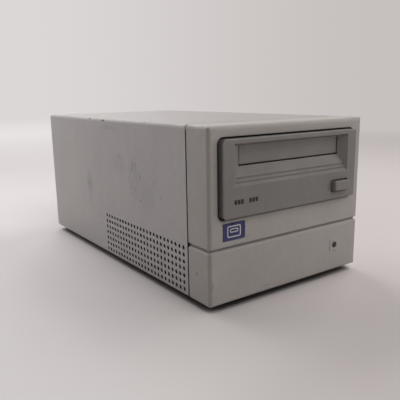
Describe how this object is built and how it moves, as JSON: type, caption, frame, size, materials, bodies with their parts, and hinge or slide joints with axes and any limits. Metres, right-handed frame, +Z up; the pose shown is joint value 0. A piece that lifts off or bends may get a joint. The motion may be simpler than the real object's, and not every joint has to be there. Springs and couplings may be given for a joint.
{
  "type": "external tape drive",
  "caption": "Desktop cartridge tape drive in its own metal case, with a plastic front, sprung cartridge door, eject button, vented sides and rear connectors.",
  "frame": {"origin": "middle of the footprint, on the surface that the feet stand on", "axes": "+X to the right seen from the front, +Y from the front to the rear, +Z up"},
  "size_m": [0.117, 0.2314, 0.0975],
  "materials": {
    "cover_paint": "satin",
    "bezel_plastic": "fine texture",
    "drive_plastic": "fine texture",
    "dark_plastic": "satin",
    "pale_plastic": "satin",
    "zinc_sheet": "zinc plated",
    "steel": "nickel plated",
    "aluminium": "turned",
    "rubber": "matte",
    "board": "solder mask",
    "tape_wrap": "wound tape",
    "lens": "gloss",
    "badge": "printed foil",
    "cable_grey": "satin",
    "cable_red": "satin",
    "cable_blue": "satin",
    "contact": "tinned"
  },
  "bodies": {
    "case": {"top_cover": "cover_paint", "base_chassis": "zinc_sheet", "rear_panel": "zinc_sheet", "front_bezel": "bezel_plastic", "foot_front_left": "rubber", "foot_front_right": "rubber", "foot_rear_left": "rubber", "foot_rear_right": "rubber", "badge_plate": "badge", "power_light": "lens", "case_screws": "steel", "fan_frame": "dark_plastic", "fan_guard": "steel", "fan_screws": "steel", "bus_shell_in": "steel", "bus_shell_out": "steel", "bus_inserts": "dark_plastic", "jack_posts": "steel", "number_switch_body": "dark_plastic", "inlet_housing": "dark_plastic", "inlet_pins": "contact", "switch_housing": "dark_plastic", "supply_board": "board", "supply_transformer": "tape_wrap", "bulk_capacitor": "dark_plastic", "output_capacitors": "dark_plastic", "heat_sink": "aluminium", "drive_bracket": "zinc_sheet", "drive_chassis": "zinc_sheet", "drive_top_cover": "zinc_sheet", "drive_bezel": "drive_plastic", "status_lenses": "lens", "front_board": "board", "drive_board": "board", "drive_connectors": "dark_plastic", "ribbon_cable": "cable_grey", "power_harness": "cable_red", "mains_leads": "cable_blue", "cage_guides": "zinc_sheet", "loading_motor": "steel", "lower_drum": "aluminium"},
    "door": {"cartridge_door": "drive_plastic"},
    "eject": {"eject_button": "drive_plastic"},
    "rocker": {"switch_rocker": "dark_plastic"},
    "number_wheel": {"number_wheel": "pale_plastic"},
    "plus_button": {"plus_button": "dark_plastic"},
    "minus_button": {"minus_button": "dark_plastic"},
    "fan": {"fan_rotor": "dark_plastic"},
    "drum": {"head_drum": "aluminium"},
    "capstan": {"capstan": "steel"},
    "pinch_arm": {"pinch_arm": "zinc_sheet"},
    "pinch_roller": {"pinch_roller": "rubber"},
    "supply_reel": {"supply_reel": "pale_plastic"},
    "takeup_reel": {"takeup_reel": "pale_plastic"},
    "slider": {"cam_slider": "zinc_sheet"},
    "cage": {"cartridge_cage": "zinc_sheet"},
    "loading_gear": {"loading_gear": "pale_plastic"},
    "motor_pinion": {"motor_pinion": "pale_plastic"},
    "supply_guide": {"supply_guide": "aluminium"},
    "takeup_guide": {"takeup_guide": "aluminium"}
  },
  "joints": [
    {"name": "door_hinge", "type": "hinge", "parent": "case", "child": "door", "pos_m": [-0.00025, -0.10675, 0.0881], "axis": [1, 0, 0], "range_deg": [0, 82], "stiffness_Nm_per_rad": 0.002},
    {"name": "eject_press", "type": "slide", "parent": "case", "child": "eject", "axis": [0, 1, 0], "range_m": [0, 0.0018], "stiffness_N_per_m": 80},
    {"name": "rocker_tip", "type": "hinge", "parent": "case", "child": "rocker", "pos_m": [0.043, 0.10855, 0.0545], "axis": [1, 0, 0], "range_deg": [0, 24]},
    {"name": "number_wheel_turn", "type": "hinge", "parent": "case", "child": "number_wheel", "pos_m": [0.02, 0.10335, 0.0545], "axis": [1, 0, 0], "continuous": true},
    {"name": "plus_press", "type": "slide", "parent": "case", "child": "plus_button", "axis": [0, -1, 0], "range_m": [0, 0.0012], "stiffness_N_per_m": 80},
    {"name": "minus_press", "type": "slide", "parent": "case", "child": "minus_button", "axis": [0, -1, 0], "range_m": [0, 0.0012], "stiffness_N_per_m": 80},
    {"name": "fan_spin", "type": "hinge", "parent": "case", "child": "fan", "pos_m": [-0.0208, 0.09975, 0.04145], "axis": [0, 1, 0], "continuous": true},
    {"name": "drum_spin", "type": "hinge", "parent": "case", "child": "drum", "pos_m": [-0.00115, -0.00925, 0.07045], "axis": [0, 0, 1], "continuous": true},
    {"name": "capstan_spin", "type": "hinge", "parent": "case", "child": "capstan", "pos_m": [0.02585, -0.02725, 0.06445], "axis": [0, 0, 1], "continuous": true},
    {"name": "pinch_swing", "type": "hinge", "parent": "case", "child": "pinch_arm", "pos_m": [0.03385, -0.03625, 0.06345], "axis": [0, 0, 1], "range_deg": [0, 20.5]},
    {"name": "pinch_roller_spin", "type": "hinge", "parent": "pinch_arm", "child": "pinch_roller", "pos_m": [0.03517, -0.02432, 0.07145], "axis": [0, 0, 1], "continuous": true},
    {"name": "supply_reel_spin", "type": "hinge", "parent": "case", "child": "supply_reel", "pos_m": [-0.01615, -0.06425, 0.06745], "axis": [0, 0, 1], "continuous": true},
    {"name": "takeup_reel_spin", "type": "hinge", "parent": "case", "child": "takeup_reel", "pos_m": [0.01385, -0.06425, 0.06745], "axis": [0, 0, 1], "continuous": true},
    {"name": "slider_run", "type": "slide", "parent": "case", "child": "slider", "axis": [0, 1, 0], "range_m": [0, 0.012]},
    {"name": "cage_drop", "type": "slide", "parent": "case", "child": "cage", "axis": [0, 0, -1], "range_m": [0, 0.009]},
    {"name": "loading_gear_turn", "type": "hinge", "parent": "case", "child": "loading_gear", "pos_m": [0.03345, -0.00125, 0.06745], "axis": [0, 0, 1], "range_deg": [0, 122.88]},
    {"name": "motor_pinion_turn", "type": "hinge", "parent": "case", "child": "motor_pinion", "pos_m": [0.01959, 0.00675, 0.06745], "axis": [0, 0, 1], "range_deg": [-368.83, 0]},
    {"name": "supply_guide_run", "type": "slide", "parent": "case", "child": "supply_guide", "axis": [-0.4571, 0.8894, 0], "range_m": [0, 0.018]},
    {"name": "takeup_guide_run", "type": "slide", "parent": "case", "child": "takeup_guide", "axis": [0.4571, 0.8894, 0], "range_m": [0, 0.018]}
  ],
  "couplings": [
    {"joint": "cage_drop", "follows": "slider_run", "ratio": 0.75},
    {"joint": "loading_gear_turn", "follows": "slider_run", "rad_per_m": 178.57},
    {"joint": "motor_pinion_turn", "follows": "slider_run", "rad_per_m": -535.71},
    {"joint": "takeup_guide_run", "follows": "supply_guide_run", "ratio": 1}
  ]
}
